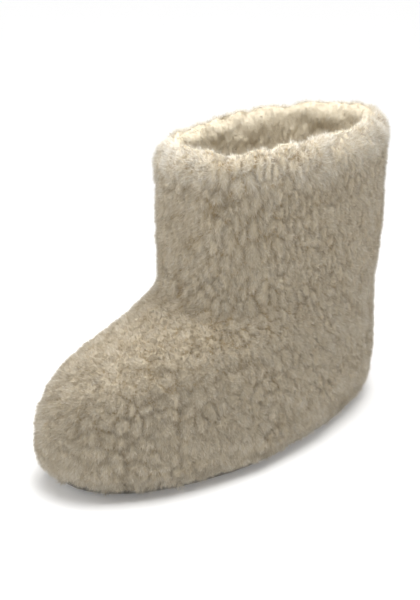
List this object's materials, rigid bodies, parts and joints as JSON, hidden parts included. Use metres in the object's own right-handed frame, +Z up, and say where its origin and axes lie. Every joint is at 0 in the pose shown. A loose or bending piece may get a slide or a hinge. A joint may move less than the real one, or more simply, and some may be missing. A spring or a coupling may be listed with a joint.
{
  "type": "wool slipper boot",
  "caption": "Ankle-high fleece slipper boot for the left foot, with a rolled collar, hollow upper, thin felt sole and fleece insole.",
  "frame": {"origin": "on the floor, under the middle of the boot's box", "axes": "+Z up, the toe points to -Y and the heel to +Y, +X is the outer side of the left foot"},
  "size_m": [0.1092, 0.2686, 0.194],
  "materials": {
    "fleece": "thick natural cream wool pile in soft clumps, matt",
    "felt": "dense grey wool felt, matt",
    "lining": "short tan wool pile, matt"
  },
  "bodies": {
    "root": {"upper": "fleece", "sole": "felt", "insole": "lining"}
  },
  "joints": []
}
